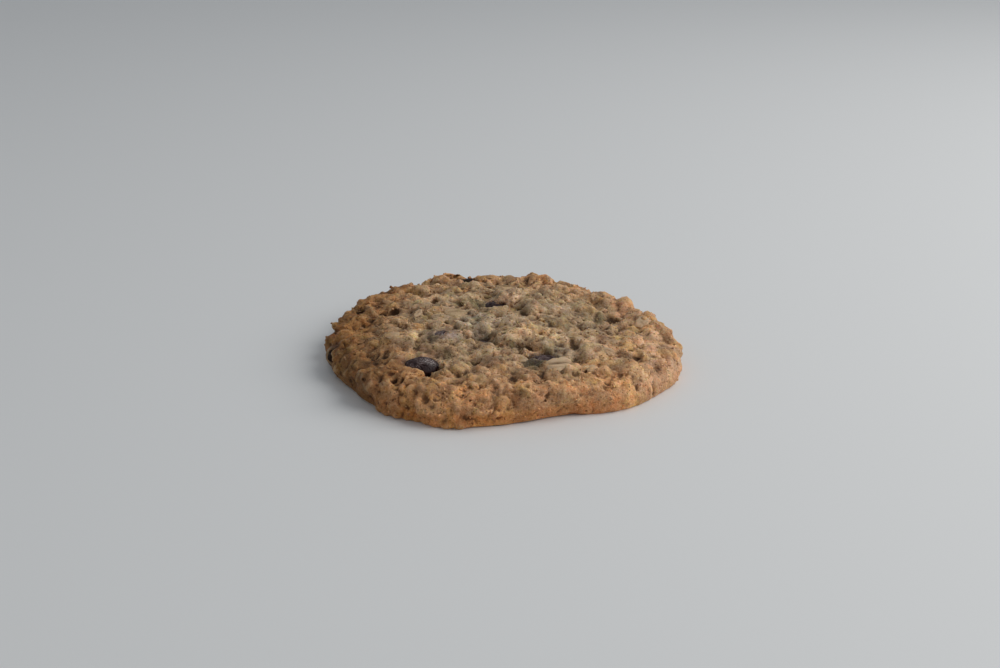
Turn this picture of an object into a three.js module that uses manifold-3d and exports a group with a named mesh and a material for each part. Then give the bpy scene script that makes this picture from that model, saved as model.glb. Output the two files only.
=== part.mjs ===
// Oatmeal raisin cookie: one thick, hand-portioned disc of baked oat dough with a craggy top,
// a rounded crusty edge and a flat base, with loose oat flakes stuck on it and whole raisins baked
// into it.
// Units are millimetres, +Z is up and -Y is the cookie's front. The origin is the middle of the
// flat base, on the plane that it rests on.
import * as THREE from "three";
import { mergeVertices } from "three/addons/utils/BufferGeometryUtils.js";
import Module from "manifold-3d";

// ---- Driving dimensions -------------------------------------------------------------------

// Plan outline: the rim's radius every 15 degrees, counted from +X towards +Y.
const RIM_RADII = [
  56.8, 52.4, 51.0, 49.2, 51.0, 53.4, 52.8, 55.0, 55.0, 55.6, 56.2, 55.0,
  56.4, 56.0, 55.0, 56.4, 56.8, 57.0, 54.0, 51.0, 51.6, 55.2, 57.3, 58.3,
];
const EDGE_HEIGHT = 9.3; // where the top meets the rounded shoulder
const CENTRE_HEIGHT = 11.0; // middle of the top, before its lumps
const SHOULDER = 7.0; // how far in from the rim the shoulder starts
const BASE_INSET = 1.4; // how far in from the rim the flat base ends
// The edge's section between the two, as [inset from the rim, share of EDGE_HEIGHT].
const EDGE_SECTION = [[2.6, 0.93], [0.6, 0.7], [0.0, 0.4], [0.5, 0.12]];

// Lumps of dough-coated oats that cover the top and the edge.
const LUMP_COUNT = 520;
const LUMP_RADIUS = [2.5, 5.2]; // smallest and largest
const LUMP_HEIGHT = [1.4, 3.8];
const LUMP_STRETCH = [0.6, 1.0]; // width over length
const LUMP_ROUNDNESS = 0.6; // 0.5 is a half ball, more is a gentler dome
const LUMP_SINK = 2.0; // how much of the lumps' height lies within the plain form
const RELIEF_STARTS = 0.2; // relief fades in between these heights above the base
const RELIEF_FULL = 2.4;

// Broad mounds and hollows of the top: [x, y, radius, height], where a hollow's height is below 0.
const SWELLS = [
  [-21, 49, 8, 2.4], [-6, 48, 6, 1.2], [13, 45, 7, 1.6], [-35, 37, 6, 1.4],
  [3, 23, 6, 2.4], [-16, -13, 5, 2.0], [-32, -14, 8, 1.4], [-33, 5, 8, 1.0],
  [3, 3, 8, 1.2], [9, -11, 10, 2.0], [31, -14, 8, 2.2], [13, 13, 8, 1.6],
  [10, -46, 8, 1.2], [-28, -44, 8, 1.6], [-8, -42, 9, 0.8], [46, 0, 8, 1.4],
  [-48, -14, 7, 1.6], [38, 27, 7, 1.4], [15, -33, 5, 1.6], [-10, 34, 6, 1.2],
  [-6, -12, 5, -2.4], [36, 9, 7, -2.4], [26, 0, 7, -1.8], [33, 18, 4, -1.4],
  [-38, 10, 5, -1.8], [-45, -3, 5, -1.5], [5, 9, 5, -1.8], [15, -47, 4, -1.4],
  [-3, 12, 5, -1.6], [9, -32, 4, -1.4], [-22, -40, 4, -1.2],
];

// Cracks down the edge: [angle in degrees, half width, depth].
const CRACKS = [[240.5, 2.0, 2.0], [318, 1.8, 1.4], [262, 1.6, 1.0], [20, 1.8, 1.2], [96, 2.2, 1.4]];

// Raisins: place of the middle, [length, width, thickness], and turn about Z and about their length.
const RAISINS = [
  { name: "raisin_front", at: [-23.4, -32.0, 9.4], size: [10.8, 8.0, 5.6], turn: 8, roll: 14 },
  { name: "raisin_back", at: [-1.0, 17.0, 8.8], size: [9.6, 8.0, 5.4], turn: -20, roll: 18 },
  { name: "raisin_left", at: [-18.4, -10.2, 9.3], size: [9.4, 8.2, 5.8], turn: 35, roll: -8 },
  { name: "raisin_right", at: [13.4, -26.8, 8.6], size: [10.4, 7.6, 5.2], turn: 8, roll: -16 },
  { name: "raisin_middle", at: [-5.4, -13.4, 7.2], size: [9.6, 7.4, 5.2], turn: 70, roll: 0 },
  { name: "raisin_back_rim", at: [-10.8, 43.8, 7.6], size: [8.4, 7.6, 5.2], turn: 5, roll: -16 },
  { name: "raisin_left_edge", at: [-50.9, -12.2, 4.5], size: [9.2, 6.8, 5.4], turn: 82, roll: 30 },
  { name: "raisin_back_edge", at: [28.2, 39.4, 4.0], size: [10.2, 7.0, 5.2], turn: -36, roll: -25 },
];
const RAISIN_GAP = 0.45; // clear of the dough all round
const WRINKLE_DEPTH = 0.32;
const FOLDS = 7; // wrinkles round a raisin

// Oat flakes that lie bare on the top: place of the middle, turn about Z, then tilt about X and Y.
const FLAKES = [
  { at: [17.2, -31.6], turn: 4, tilt: [14, -6] },
  { at: [44.6, 2.6], turn: 80, tilt: [-3, 12] },
  { at: [13.4, 17.6], turn: -30, tilt: [8, 4] },
  { at: [27.4, 22.8], turn: 50, tilt: [-4, -4] },
  { at: [-30.6, 21.2], turn: 15, tilt: [10, -4] },
  { at: [-15.0, -46.0], turn: -20, tilt: [18, 2] },
  { at: [33.8, -35.6], turn: 35, tilt: [14, 10] },
  { at: [-40.2, -16.8], turn: 70, tilt: [2, -10] },
];
const FLAKE_SIZE = [8.0, 5.8, 1.9];
const FLAKE_SINK = 0.2; // how far its middle lies below the top
const FLAKE_DETAIL = 1;

const DOUGH_DETAIL = 19; // cuts across an icosahedron's edge: 20 * 20 * 20 triangles
const RAISIN_DETAIL = 3;
const POCKET_DETAIL = 2;
const SEED = 20;

// ---- Small helpers ------------------------------------------------------------------------

const { clamp, lerp, smoothstep, degToRad, euclideanModulo } = THREE.MathUtils;

// A seeded stream of numbers from 0 to 1.
function makeRandom(seed) {
  let state = seed >>> 0;
  return () => {
    state = (Math.imul(state, 1664525) + 1013904223) >>> 0;
    return state / 4294967296;
  };
}

const between = ([low, high], share) => lerp(low, high, share);

// A closed icosahedral ball of radius 1 whose triangles share their vertices.
function ball(detail) {
  const geometry = new THREE.IcosahedronGeometry(1, detail);
  geometry.deleteAttribute("normal");
  geometry.deleteAttribute("uv");
  return mergeVertices(geometry, 1e-5);
}

// Moves each vertex of a geometry by a rule from its place on the ball.
function reshape(geometry, rule) {
  const place = geometry.getAttribute("position");
  const point = new THREE.Vector3();
  for (let i = 0; i < place.count; i += 1) {
    const moved = rule(point.fromBufferAttribute(place, i));
    place.setXYZ(i, moved.x, moved.y, moved.z);
  }
  return geometry;
}

// ---- Plain form of the dough --------------------------------------------------------------

// The rim's radius at an angle: a smooth closed curve through RIM_RADII.
function rimRadius(angle) {
  const count = RIM_RADII.length;
  const along = euclideanModulo(angle / (2 * Math.PI), 1) * count;
  const step = Math.floor(along);
  const t = along - step;
  const [a, b, c, d] = [-1, 0, 1, 2].map((k) => RIM_RADII[euclideanModulo(step + k, count)]);
  return b + 0.5 * t * (c - a + t * (2 * a - 5 * b + 4 * c - d + t * (3 * (b - c) + d - a)));
}

// How the ball's surface is shared out between the top, the edge and the base.
const TOP_SHARE = 0.68;
const EDGE_SHARE = 0.26;

const edgeCurve = new THREE.SplineCurve([
  new THREE.Vector2(SHOULDER, EDGE_HEIGHT),
  ...EDGE_SECTION.map(([inset, share]) => new THREE.Vector2(inset, share * EDGE_HEIGHT)),
  new THREE.Vector2(BASE_INSET, 0),
]);

// The cookie's section at one angle: distance from the axis and height, where share runs from 0 in
// the middle of the top to 1 in the middle of the base.
function section(share, rim) {
  if (share <= TOP_SHARE) {
    const out = Math.sqrt(share / TOP_SHARE);
    const height = lerp(CENTRE_HEIGHT, EDGE_HEIGHT, out * out);
    return new THREE.Vector2(out * (rim - SHOULDER), height);
  }
  if (share < TOP_SHARE + EDGE_SHARE) {
    const point = edgeCurve.getPoint((share - TOP_SHARE) / EDGE_SHARE);
    return new THREE.Vector2(rim - point.x, point.y);
  }
  const out = Math.sqrt((1 - share) / (1 - TOP_SHARE - EDGE_SHARE));
  return new THREE.Vector2(out * (rim - BASE_INSET), 0);
}

// The place and outward direction on the plain form for a point of the unit ball.
function plainForm(direction) {
  const angle = Math.atan2(direction.y, direction.x);
  const rim = rimRadius(angle);
  const share = clamp((1 - direction.z) / 2, 0, 1);
  const nudge = 0.004;
  const here = section(share, rim);
  const before = section(Math.max(share - nudge, 0), rim);
  const after = section(Math.min(share + nudge, 1), rim);
  const along = after.sub(before).normalize();
  const [cos, sin] = [Math.cos(angle), Math.sin(angle)];
  return {
    angle,
    place: new THREE.Vector3(here.x * cos, here.x * sin, here.y),
    out: new THREE.Vector3(-along.y * cos, -along.y * sin, along.x),
  };
}

// ---- Relief -------------------------------------------------------------------------------

// Lumps spread evenly over the top and the edge in a sunflower pattern, then shaken out of line.
function makeLumps() {
  const random = makeRandom(SEED);
  const goldenAngle = Math.PI * (3 - Math.sqrt(5));
  const covered = TOP_SHARE + EDGE_SHARE;
  return Array.from({ length: LUMP_COUNT }, (_, i) => {
    const share = covered * clamp((i + random() * 9 - 4) / LUMP_COUNT, 0, 1);
    const angle = i * goldenAngle + (random() - 0.5) * 0.12;
    const level = 1 - 2 * share;
    const flat = Math.sqrt(1 - level * level);
    const { place, out } = plainForm(
      new THREE.Vector3(flat * Math.cos(angle), flat * Math.sin(angle), level),
    );
    const size = random();
    const radius = between(LUMP_RADIUS, size);
    const turn = random() * Math.PI;
    const aside = new THREE.Vector3(Math.cos(turn), Math.sin(turn), 0).cross(out).normalize();
    return {
      place,
      aside,
      radius,
      height: between(LUMP_HEIGHT, 0.45 * size + 0.55 * random()),
      stretch: between(LUMP_STRETCH, random()),
    };
  });
}

const lumps = makeLumps();

// The tallest lump over a place, so that neighbours meet in a crease.
function lumpHeight(place) {
  const offset = new THREE.Vector3();
  let tallest = 0;
  for (const { place: middle, aside, radius, height, stretch } of lumps) {
    offset.subVectors(place, middle);
    const across = offset.dot(aside) / stretch;
    const squared = offset.lengthSq() - offset.dot(aside) ** 2 + across ** 2;
    const left = 1 - squared / (radius * radius);
    if (left > 0) tallest = Math.max(tallest, height * left ** LUMP_ROUNDNESS);
  }
  return tallest;
}

function swellHeight({ x, y }) {
  return SWELLS.reduce((sum, [cx, cy, radius, height]) => {
    const squared = ((x - cx) ** 2 + (y - cy) ** 2) / (radius * radius);
    return sum + height * Math.exp(-1.6 * squared);
  }, 0);
}

function crackDepth(angle, place) {
  const fromAxis = Math.hypot(place.x, place.y);
  const onEdge = smoothstep(fromAxis, rimRadius(angle) - SHOULDER - 3, rimRadius(angle) - 2);
  return CRACKS.reduce((sum, [degrees, halfWidth, depth]) => {
    const turn = euclideanModulo(angle - degToRad(degrees) + Math.PI, 2 * Math.PI) - Math.PI;
    return sum + depth * onEdge * Math.exp(-((turn * fromAxis / halfWidth) ** 2));
  }, 0);
}

function doughPoint(direction) {
  const { angle, place, out } = plainForm(direction);
  const upward = Math.max(out.z, 0);
  const relief =
    lumpHeight(place) - LUMP_SINK + upward * swellHeight(place) - crackDepth(angle, place);
  const fade = smoothstep(place.z, RELIEF_STARTS, RELIEF_FULL);
  return place.addScaledVector(out, relief * fade);
}

// The height of the lumpy top over a point of the plan.
function topHeight(x, y) {
  const fromAxis = Math.hypot(x, y);
  const out = fromAxis / (rimRadius(Math.atan2(y, x)) - SHOULDER);
  const place = new THREE.Vector3(x, y, lerp(CENTRE_HEIGHT, EDGE_HEIGHT, out * out));
  return place.z + lumpHeight(place) - LUMP_SINK + swellHeight(place);
}

function flakeGeometry({ at: [x, y], turn, tilt }) {
  const flake = ball(FLAKE_DETAIL);
  flake.scale(...FLAKE_SIZE.map((length) => length / 2));
  flake.rotateZ(degToRad(turn));
  flake.rotateX(degToRad(tilt[0]));
  flake.rotateY(degToRad(tilt[1]));
  return flake.translate(x, y, topHeight(x, y) - FLAKE_SINK);
}

// ---- Raisins ------------------------------------------------------------------------------

// One raisin about its own middle: a flattened oval drawn in by wrinkles that run along it and
// fade at its two ends. grow moves the whole skin outwards.
function raisinGeometry({ size, turn, roll }, index, detail, grow = 0) {
  const [rx, ry, rz] = size.map((length) => length / 2 + grow);
  const geometry = reshape(ball(detail), (point) => {
    const round = Math.atan2(point.z, point.y);
    const waist = 1 - point.x * point.x;
    const fold = Math.sin(FOLDS * round + 2.2 * point.x + index) * waist;
    const dent = Math.sin(2.6 * point.x * Math.PI + 3 * point.y + index) * 0.5;
    const draw = 1 + (WRINKLE_DEPTH * (fold + dent)) / Math.min(rx, ry, rz) / 2;
    return point.set(point.x * rx * draw, point.y * ry * draw, point.z * rz * draw);
  });
  geometry.rotateX(degToRad(roll));
  geometry.rotateZ(degToRad(turn));
  return geometry;
}

// ---- Joining and cutting ------------------------------------------------------------------

const wasm = await Module();
wasm.setup();

function toSolid(geometry) {
  return new wasm.Manifold(
    new wasm.Mesh({
      numProp: 3,
      vertProperties: new Float32Array(geometry.getAttribute("position").array),
      triVerts: new Uint32Array(geometry.index.array),
    }),
  );
}

function toGeometry(solid) {
  const mesh = solid.getMesh();
  const geometry = new THREE.BufferGeometry();
  geometry.setAttribute("position", new THREE.BufferAttribute(mesh.vertProperties, 3));
  geometry.setIndex(new THREE.BufferAttribute(mesh.triVerts, 1));
  geometry.computeVertexNormals();
  return geometry;
}

// The dough with its flakes fused on and a pocket for each raisin.
function doughGeometry() {
  let dough = toSolid(reshape(ball(DOUGH_DETAIL), doughPoint));
  for (const flake of FLAKES) {
    dough = dough.add(toSolid(flakeGeometry(flake)));
  }
  RAISINS.forEach((raisin, index) => {
    const pocket = raisinGeometry(raisin, index, POCKET_DETAIL, RAISIN_GAP);
    dough = dough.subtract(toSolid(pocket.translate(...raisin.at)));
  });
  return toGeometry(dough);
}

// ---- The object ---------------------------------------------------------------------------

const crust = new THREE.MeshStandardMaterial({ color: 0x9a7450, roughness: 0.9, metalness: 0 });
const raisinSkin = new THREE.MeshStandardMaterial({ color: 0x2c1c1c, roughness: 0.45, metalness: 0 });

const cookie = new THREE.Group();
const dough = new THREE.Mesh(doughGeometry(), crust);
dough.name = "cookie";
cookie.add(dough);

RAISINS.forEach((raisin, index) => {
  const mesh = new THREE.Mesh(raisinGeometry(raisin, index, RAISIN_DETAIL), raisinSkin);
  mesh.name = raisin.name;
  mesh.position.set(...raisin.at);
  cookie.add(mesh);
});

export default cookie;
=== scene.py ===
import math

import bmesh
import bpy
from mathutils import Euler, Matrix, Vector
from mathutils.bvhtree import BVHTree


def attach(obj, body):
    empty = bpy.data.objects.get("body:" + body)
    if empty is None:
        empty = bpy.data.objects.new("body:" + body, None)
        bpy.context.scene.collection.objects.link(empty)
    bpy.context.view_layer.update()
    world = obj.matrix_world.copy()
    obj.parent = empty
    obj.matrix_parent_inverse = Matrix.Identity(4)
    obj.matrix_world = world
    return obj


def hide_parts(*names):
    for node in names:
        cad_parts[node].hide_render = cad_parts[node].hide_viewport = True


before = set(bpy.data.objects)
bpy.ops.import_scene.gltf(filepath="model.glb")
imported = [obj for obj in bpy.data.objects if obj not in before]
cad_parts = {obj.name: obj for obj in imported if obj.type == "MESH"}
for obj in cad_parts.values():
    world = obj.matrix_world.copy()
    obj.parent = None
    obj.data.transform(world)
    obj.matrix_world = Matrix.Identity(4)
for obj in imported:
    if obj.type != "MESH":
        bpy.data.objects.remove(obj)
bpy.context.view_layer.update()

# ---- Camera --------------------------------------------------------------------------------
# Stands in front of the cookie at the height of a seated person's eyes, looks down on it and
# keeps some of the table around it.

CAMERA_PLACE = (-0.0004, -0.3956, 0.1705)
CAMERA_DOWN = math.radians(22.416)
CAMERA_ROLL = math.radians(-0.263)
SENSOR = 36.0  # millimetres across
LENS = 1.3214 * SENSOR

camera = bpy.data.objects.new("camera", bpy.data.cameras.new("camera"))
camera.data.sensor_width = SENSOR
camera.data.lens = LENS
camera.data.clip_start = 0.01
camera.location = CAMERA_PLACE
camera.rotation_euler = (math.pi / 2 - CAMERA_DOWN, CAMERA_ROLL, 0)
bpy.context.scene.collection.objects.link(camera)
bpy.context.scene.camera = camera

# ---- Oats in the dough ---------------------------------------------------------------------
# Rolled oat flakes and small grains of dough lie just under the crust and give it its nodules.
# They are strewn over the solid dough, clear of the raisins, and are coated in the next section.

MM = 0.001
METRE = 1000.0  # millimetres


def add(tree, kind, inputs=None, **settings):
    """Adds a node with its settings, and with inputs that are values or other nodes' sockets."""
    made = tree.nodes.new(kind)
    for name, value in settings.items():
        setattr(made, name, value)
    for name, value in (inputs or {}).items():
        if isinstance(value, bpy.types.NodeSocket):
            tree.links.new(value, made.inputs[name])
        else:
            made.inputs[name].default_value = value
    return made


def maths(tree, operation, *values):
    return add(tree, "ShaderNodeMath", dict(enumerate(values)), operation=operation).outputs[0]


def vectors(tree, operation, *values):
    return add(tree, "ShaderNodeVectorMath", dict(enumerate(values)), operation=operation).outputs[0]


def scaled(tree, vector, scale):
    return add(tree, "ShaderNodeVectorMath", {0: vector, "Scale": scale}, operation="SCALE").outputs[0]


def ramp(tree, value, low, high, to_low=0.0, to_high=1.0):
    """Takes a value smoothly from one pair of limits to another, and holds it there."""
    inputs = {"Value": value, "From Min": low, "From Max": high, "To Min": to_low, "To Max": to_high}
    return add(tree, "ShaderNodeMapRange", inputs, interpolation_type="SMOOTHSTEP").outputs[0]


def shape_tree(name, **inputs):
    """A Geometry Nodes tree with one geometry in and out and with named inputs."""
    kinds = {float: "Float", int: "Int", bpy.types.Object: "Object"}
    tree = bpy.data.node_groups.new(name, "GeometryNodeTree")
    for side in ("INPUT", "OUTPUT"):
        tree.interface.new_socket("Geometry", in_out=side, socket_type="NodeSocketGeometry")
    for label, value in inputs.items():
        kind = "NodeSocket" + kinds[type(value)]
        made = tree.interface.new_socket(label.replace("_", " "), in_out="INPUT", socket_type=kind)
        if not isinstance(value, bpy.types.Object):
            made.default_value = value
    return tree, tree.nodes.new("NodeGroupInput").outputs, tree.nodes.new("NodeGroupOutput").inputs


def grow(piece, tree, **inputs):
    """Puts a tree on a piece and sets its inputs by their identifiers."""
    modifier = piece.modifiers.new(tree.name, "NODES")
    modifier.node_group = tree
    for item in tree.interface.items_tree:
        label = item.name.replace(" ", "_")
        if item.in_out == "INPUT" and label in inputs:
            modifier[item.identifier] = inputs[label]


def settle(piece):
    """Leaves a piece as the plain mesh that its modifiers made of it."""
    graph = bpy.context.evaluated_depsgraph_get()
    mesh = bpy.data.meshes.new_from_object(
        piece.evaluated_get(graph), preserve_all_data_layers=True, depsgraph=graph)
    piece.modifiers.clear()
    piece.data = mesh


def new_piece(name, mesh):
    piece = bpy.data.objects.new(name, mesh)
    bpy.context.scene.collection.objects.link(piece)
    return piece


def merged_copy(name, *nodes):
    """One object with the closed surfaces of these nodes of the solid model."""
    form = bmesh.new()
    for node in nodes:
        form.from_mesh(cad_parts[node].data)
    bmesh.ops.remove_doubles(form, verts=form.verts, dist=0.002 * MM)
    mesh = bpy.data.meshes.new(name)
    form.to_mesh(mesh)
    form.free()
    mesh.materials.clear()
    return new_piece(name, mesh)


RAISINS = sorted(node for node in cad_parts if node.startswith("raisin"))
core = merged_copy("dough_core", "cookie")
raisin_forms = merged_copy("raisin_forms", *RAISINS)
SKIN = 0.5 * MM  # of dough over a raisin
COATING = 0.5 * MM  # of grains and crumbs round the rim

# Each kind of lump: how many to a square metre, its length, its thickness as a share of that, how deep
# it sinks, how far it tilts, how clear it stays of the raisins, its lowest place, the share of it that
# lies in sparse patches, on the wall and at the right, and the seed of its places.
OATS = {"Density": 36000.0, "Length": 6.4 * MM, "Thickness": 0.34, "Sink": 0.45 * MM, "Tilt": 0.35,
        "Clear": 2.0 * MM, "Lowest": 5.5 * MM, "Patchy": 0.8, "Wall": 0.02, "Right": 0.6, "Seed": 4}
CLUMPS = {"Density": 95000.0, "Length": 4.6 * MM, "Thickness": 0.66, "Sink": 0.7 * MM, "Tilt": 0.6,
          "Clear": 2.2 * MM, "Lowest": 4.5 * MM, "Patchy": 0.6, "Wall": 0.04, "Right": 0.5, "Seed": 23}
NODULES = {"Density": 130000.0, "Length": 2.6 * MM, "Thickness": 0.8, "Sink": 0.5 * MM, "Tilt": 1.0,
           "Clear": 1.6 * MM, "Lowest": 1.5 * MM, "Patchy": 0.3, "Wall": 0.2, "Right": 0.3, "Seed": 57}
GRAINS = {"Density": 210000.0, "Length": 1.4 * MM, "Thickness": 0.8, "Sink": 0.28 * MM, "Tilt": 0.8,
          "Clear": 1.2 * MM, "Lowest": 0.7 * MM, "Patchy": 0.2, "Wall": 1.0, "Right": 0.8, "Seed": 11}
CALM_FROM, CALM_TO = 18.0, 46.0  # millimetres to the right, where the dough grows calmer


def lump(form, at, size, turn=(0, 0, 0), squareness=0.85):
    """A rounded disc: an egg when the squareness is nought, a tablet when it is one."""
    start = len(form.verts)
    bmesh.ops.create_icosphere(form, subdivisions=3, radius=0.5)
    turned = Euler([math.radians(angle) for angle in turn]).to_matrix().to_4x4()
    place = Matrix.Translation(Vector(at) * MM) @ turned
    for vertex in list(form.verts)[start:]:
        x, y, z = vertex.co
        z *= 1 + 4 * squareness * (x * x + y * y)
        vertex.co = place @ (Vector((x * size[0], y * size[1], z * size[2])) * MM)


def lumps_piece(name, lumps):
    form = bmesh.new()
    for values in lumps:
        lump(form, *values)
    mesh = bpy.data.meshes.new(name)
    form.to_mesh(mesh)
    form.free()
    return new_piece(name, mesh)


ball = lumps_piece("oat_form", [((0, 0, 0), (METRE, METRE, METRE))])  # scaled down where it is laid


def strew_tree():
    """Lays flat lumps on a surface, each turned, tilted and sized by chance, and tells each apart."""
    tree, given, made = shape_tree(
        "strew_lumps", Density=1.0, Length=1.0, Thickness=0.4, Sink=0.0, Tilt=0.5, Clear=0.0,
        Lowest=0.0, Patchy=0.5, Wall=1.0, Right=1.0, Seed=0, Raisins=raisin_forms, Form=ball)
    position = add(tree, "GeometryNodeInputPosition").outputs[0]
    parts = add(tree, "ShaderNodeSeparateXYZ", {0: position}).outputs
    normal = add(tree, "GeometryNodeInputNormal").outputs[0]
    facing = add(tree, "ShaderNodeSeparateXYZ", {0: normal}).outputs["Z"]
    raisins = add(tree, "GeometryNodeObjectInfo", {"Object": given["Raisins"]}).outputs["Geometry"]
    distance = add(tree, "GeometryNodeProximity", {0: raisins}).outputs["Distance"]
    in_mm = scaled(tree, position, METRE)
    patch = add(tree, "ShaderNodeTexNoise", {"Vector": in_mm, "Scale": 0.16, "Detail": 1.0}).outputs[0]
    patch = ramp(tree, patch, 0.4, 0.6, given["Patchy"], 1.0)
    high = maths(tree, "GREATER_THAN", parts["Z"], given["Lowest"])
    side = ramp(tree, parts["X"], CALM_FROM * MM, CALM_TO * MM, 1.0, given["Right"])
    upward = ramp(tree, facing, 0.15, 0.6, given["Wall"], 1.0)
    clear = maths(tree, "GREATER_THAN", distance, given["Clear"])
    outside = maths(tree, "GREATER_THAN", facing, -0.5)
    density = given["Density"]
    for share in (patch, high, side, upward, clear, outside):
        density = maths(tree, "MULTIPLY", density, share)
    points = add(tree, "GeometryNodeDistributePointsOnFaces",
                 {"Mesh": given["Geometry"], "Density": density, "Seed": given["Seed"]})
    form = add(tree, "GeometryNodeObjectInfo", {"Object": given["Form"]}).outputs["Geometry"]

    def chance(low_end, high_end, offset, kind="FLOAT"):
        seed = maths(tree, "ADD", given["Seed"], float(offset))
        node = add(tree, "FunctionNodeRandomValue", {"Seed": seed}, data_type=kind)
        usable = [socket for socket in node.inputs if socket.enabled]
        usable[0].default_value, usable[1].default_value = low_end, high_end
        return [socket for socket in node.outputs if socket.enabled][0]

    flatness = add(tree, "ShaderNodeCombineXYZ", {
        "X": chance(0.65, 1.2, 1), "Y": chance(0.5, 0.9, 2),
        "Z": maths(tree, "MULTIPLY", given["Thickness"], chance(0.7, 1.5, 3))}).outputs[0]
    spin = add(tree, "ShaderNodeCombineXYZ", {"Z": chance(0.0, math.tau, 4)}).outputs[0]
    lean = scaled(tree, chance((-1, -1, 0), (1, 1, 0), 5, "FLOAT_VECTOR"), given["Tilt"])
    turned = points.outputs["Rotation"]
    for turn in (spin, lean):
        turn = add(tree, "FunctionNodeEulerToRotation", {0: turn}).outputs[0]
        turned = add(tree, "FunctionNodeRotateRotation", {0: turned, 1: turn},
                     rotation_space="LOCAL").outputs[0]
    size = scaled(tree, flatness, given["Length"])
    down = scaled(tree, points.outputs["Normal"], maths(tree, "MULTIPLY", given["Sink"], -1.0))
    sunk = add(tree, "GeometryNodeSetPosition",
               {"Geometry": points.outputs["Points"], "Offset": down}).outputs[0]
    laid = add(tree, "GeometryNodeInstanceOnPoints",
               {"Points": sunk, "Instance": form, "Rotation": turned, "Scale": size}).outputs[0]
    told = add(tree, "GeometryNodeStoreNamedAttribute",
               {"Geometry": laid, "Name": "tint", "Value": chance(0.0, 1.0, 6)},
               data_type="FLOAT", domain="INSTANCE").outputs[0]
    real = add(tree, "GeometryNodeRealizeInstances", {0: told}).outputs[0]
    uneven = add(tree, "ShaderNodeTexNoise", {"Vector": in_mm, "Scale": 0.5, "Detail": 2.0}).outputs["Color"]
    uneven = scaled(tree, vectors(tree, "SUBTRACT", uneven, (0.5, 0.5, 0.5)), 1.6 * MM)
    real = add(tree, "GeometryNodeSetPosition", {"Geometry": real, "Offset": uneven}).outputs[0]
    tree.links.new(real, made[0])
    return tree


def smoothed(piece, levels):
    round_off = piece.modifiers.new("round_off", "SUBSURF")
    round_off.levels = round_off.render_levels = levels
    settle(piece)


def strewn(ground, kind, form):
    """Turns a piece of ground into the lumps of one kind that lie strewn over it."""
    grow(ground, strew, Raisins=raisin_forms, Form=form, **kind)
    settle(ground)
    return ground


SET_RIGHT = 0.4 * MM
RIM_START = 30 * MM  # from the middle; beyond it the core is drawn in to leave room for its coating
RIM_WIDTH = 20 * MM

smoothed(core, 1)
for vertex in core.data.vertices:
    vertex.co.x += SET_RIGHT
    from_axis = vertex.co.xy.length
    rim_share = min(max((from_axis - RIM_START) / RIM_WIDTH, 0), 1)
    vertex.co.xy *= 1 - COATING * rim_share / max(from_axis, MM)
strew = strew_tree()
oats = strewn(new_piece("oats_in_dough", core.data.copy()), OATS, ball)
clumps = strewn(new_piece("clumps_in_dough", core.data.copy()), CLUMPS, ball)
nodules = strewn(new_piece("nodules_in_dough", core.data.copy()), NODULES, ball)

# Heaps of dough: middle, length, width, how far they stand up, turn and lean towards the front.
HEAPS = (
    (-49, -7, 7.5, 7, 2.2, 70, 0), (-33, 37, 6, 6, 0.2, -30, 0),
    (-5, 45, 9, 5.5, 0.6, 0, 0), (25.6, 39, 9, 6, 2.0, -35, 0),
    (3.2, 18.8, 8.5, 7, 2.0, 0, 10), (10.4, 9, 7.5, 9, 2.4, 15, 10), (5, -1, 9, 5, 1.8, -15, 12),
    (5, -15.5, 12, 8, 2.9, 30, 8), (13, -19.5, 11, 7, 2.6, -25, 8), (29, -22, 11.5, 12, 2.6, 20, 6),
    (8.5, -46, 8.5, 7, 2.3, 10, 14), (-10.7, 17, 6, 7, 1.8, 40, 0), (-25, 17, 8, 7, 1.7, 0, 0),
    (-31.5, -18, 13, 10, 2.4, -10, 4), (-27, -38.5, 10, 8, 2.4, 30, 8), (-42, -27, 9, 8, 1.9, 60, 8),
    (-11, -28, 6, 6.5, 1.8, 0, 10), (-4, -29, 6, 5.5, 1.8, 20, 8), (1.5, -30, 4.5, 4.5, 1.4, 0, 8),
    (-11.6, -42, 7.5, 5, 1.7, 10, 12), (-5, -38, 5.5, 5, 1.5, -20, 8), (-6, -50, 7, 6, 0.7, 0, 22),
    (26, 17, 12, 9, 2.1, -20, 0), (41, -9, 8, 9, 1.8, 0, 0), (48, -12, 6, 9, 1.2, 10, 0),
    (28, -39, 8, 6, 1.6, 10, 14), (18, -46, 8.5, 5, 1.3, 10, 20), (-18, -46, 7, 6, 1.2, -20, 16),
    (-41, -10, 6, 7, 1.7, 30, 0), (-40, -2, 5.5, 6, 1.4, 0, 0), (-46, 25, 5.5, 6, 1.3, 40, 0),
    (-17.2, -14.8, 8.5, 8, 1.3, 35, 6), (-37, 26, 8, 6, 1.7, 10, 0), (-15, 5, 9, 8, 1.2, 0, 0),
    (19, 9, 7, 7, 1.7, 0, 0),
    (-33, 6, 8, 6, 1.5, 20, 0), (35.6, 29.0, 11, 6, 2.1, -40, 0), (23, 41, 7, 6, 2.0, -30, 0),
    (42.5, 23.0, 7, 6, 2.1, -50, 0), (53.6, -2.4, 6, 4.5, 1.2, -85, 0), (46, 17, 7, 6, 2.6, -55, 0),
    (49.5, 11.5, 6.5, 5.5, 3.1, -60, 0), (52.3, 5.0, 6.5, 5, 2.4, -75, 0), (2, 27, 8, 6, 1.7, 0, 0),
    (38, 14, 6, 6, 1.4, 0, 0), (-20, 31, 8, 6, 1.5, 15, 0), (13, 29, 8, 6, 1.5, -10, 0),
    (38, -30, 10, 9, 1.4, -30, 8), (-8, 33, 6, 6, 1.4, 30, 0), (-1, -42, 6, 5, 1.3, 10, 10),
)
HEAP_ROOT = 2.4  # how far a heap goes down besides
HEAP_SQUARENESS = 0.3

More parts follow.
